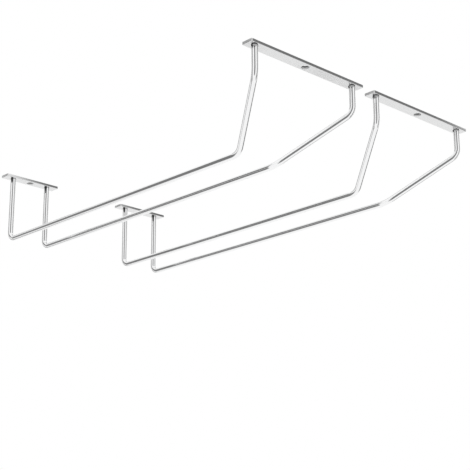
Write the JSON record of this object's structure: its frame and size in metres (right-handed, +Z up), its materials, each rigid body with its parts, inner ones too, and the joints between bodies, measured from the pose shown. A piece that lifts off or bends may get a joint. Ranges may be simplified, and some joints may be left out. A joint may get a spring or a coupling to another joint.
{
  "type": "hanging wine glass rack",
  "caption": "Pair of slim under-shelf racks in bent plated wire on flat screw-on bars; glass feet slide in over close rails and stems hang between.",
  "frame": {"origin": "middle of the four screw holes, in the plane of the ceiling, which is the bars' tops", "axes": "+Z up into the ceiling, X along the bars from the left rack to the right one, +Y from the open front to the back, along the rails"},
  "size_m": [0.236, 0.34, 0.059],
  "materials": {
    "wire": "polished plating",
    "bar": "satin, brushed across",
    "weld": "dark plated weld"
  },
  "bodies": {
    "root": {"left_rack_front_bar": "bar", "left_rack_rear_bar": "bar", "left_rack_left_wire": "wire", "left_rack_front_left_weld": "weld", "left_rack_rear_left_weld": "weld", "left_rack_right_wire": "wire", "left_rack_front_right_weld": "weld", "left_rack_rear_right_weld": "weld", "right_rack_front_bar": "bar", "right_rack_rear_bar": "bar", "right_rack_left_wire": "wire", "right_rack_front_left_weld": "weld", "right_rack_rear_left_weld": "weld", "right_rack_right_wire": "wire", "right_rack_front_right_weld": "weld", "right_rack_rear_right_weld": "weld"}
  },
  "joints": []
}
